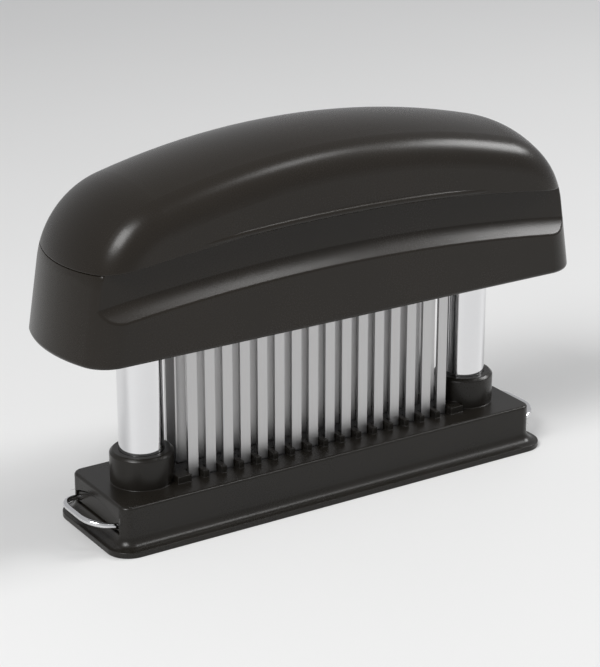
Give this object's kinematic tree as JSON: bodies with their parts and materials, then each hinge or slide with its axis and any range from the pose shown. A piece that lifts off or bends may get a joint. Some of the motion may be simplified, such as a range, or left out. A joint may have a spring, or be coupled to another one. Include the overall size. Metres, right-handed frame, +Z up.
{
  "type": "meat tenderizer",
  "caption": "Hand-held plunger meat tenderizer: an arched grip pushes rows of slim blades down two polished posts and through a slotted base with wire-pull latches.",
  "frame": {"origin": "middle of the base's underside, on the table", "axes": "+X along the length towards the right-hand post, +Y towards the back, +Z up along the posts"},
  "size_m": [0.1562, 0.0416, 0.1024],
  "materials": {
    "housing": "satin warm charcoal moulding",
    "latch_plastic": "satin charcoal moulding",
    "pull_wire": "polished bent wire",
    "post_chrome": "mirror polished tube",
    "turned_steel": "fine turned",
    "fastener_steel": "bright zinc",
    "bush_plastic": "natural acetal",
    "holder_plastic": "fine matte",
    "spring_steel": "drawn wire",
    "blade_steel": "bright satin stainless"
  },
  "bodies": {
    "base": {"base": "housing", "left_post": "post_chrome", "right_post": "post_chrome", "left_post_foot": "turned_steel", "right_post_foot": "turned_steel", "left_post_collar": "turned_steel", "right_post_collar": "turned_steel"},
    "left_latch": {"left_latch": "latch_plastic", "left_pull": "pull_wire"},
    "right_latch": {"right_latch": "latch_plastic", "right_pull": "pull_wire"},
    "handle": {"handle_body": "housing", "handle_cover": "housing", "cover_screws": "fastener_steel", "left_bush": "bush_plastic", "right_bush": "bush_plastic", "blade_holder": "holder_plastic", "front_blades": "blade_steel", "middle_blades": "blade_steel", "rear_blades": "blade_steel", "blade_plate": "turned_steel", "holder_screws": "fastener_steel", "left_spring_seat": "bush_plastic", "right_spring_seat": "bush_plastic", "left_spring": "spring_steel", "right_spring": "spring_steel"}
  },
  "joints": [
    {"name": "plunge", "type": "slide", "parent": "base", "child": "handle", "axis": [0, 0, -1], "range_m": [0, 0.024], "stiffness_N_per_m": 400, "springref_m": -0.012, "deforming": ["left_spring", "right_spring"]},
    {"name": "left_latch_slide", "type": "slide", "parent": "base", "child": "left_latch", "axis": [-1, 0, 0], "range_m": [0, 0.009]},
    {"name": "right_latch_slide", "type": "slide", "parent": "base", "child": "right_latch", "axis": [1, 0, 0], "range_m": [0, 0.009]}
  ]
}
